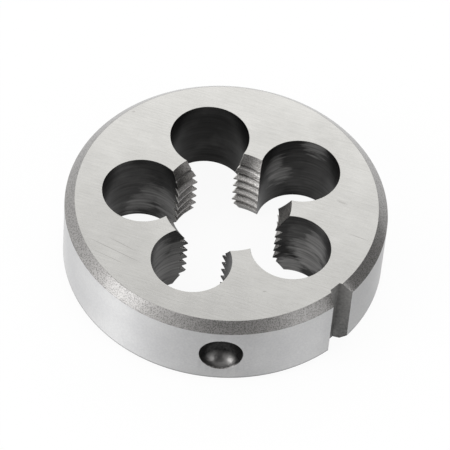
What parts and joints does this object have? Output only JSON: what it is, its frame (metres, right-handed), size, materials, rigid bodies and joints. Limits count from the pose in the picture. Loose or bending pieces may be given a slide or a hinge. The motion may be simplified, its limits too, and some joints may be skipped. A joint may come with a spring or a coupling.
{
  "type": "round threading die",
  "caption": "Flat round threading die: chip holes open into a right-hand threaded bore, with a notch and round-bottomed screw seats in the chamfered rim.",
  "frame": {"origin": "centre of the face that the die lies on, on the axis of its thread", "axes": "+Z along the axis of the thread, out of the upper face; +X through the middle of the land between the two chip holes on the notch's side"},
  "size_m": [0.038, 0.038, 0.01],
  "materials": {
    "tool_steel": "ground faces and rim, with dark as-hardened chip holes, chamfer, notch and seats"
  },
  "bodies": {
    "root": {"threading_die": "tool_steel"}
  },
  "joints": []
}
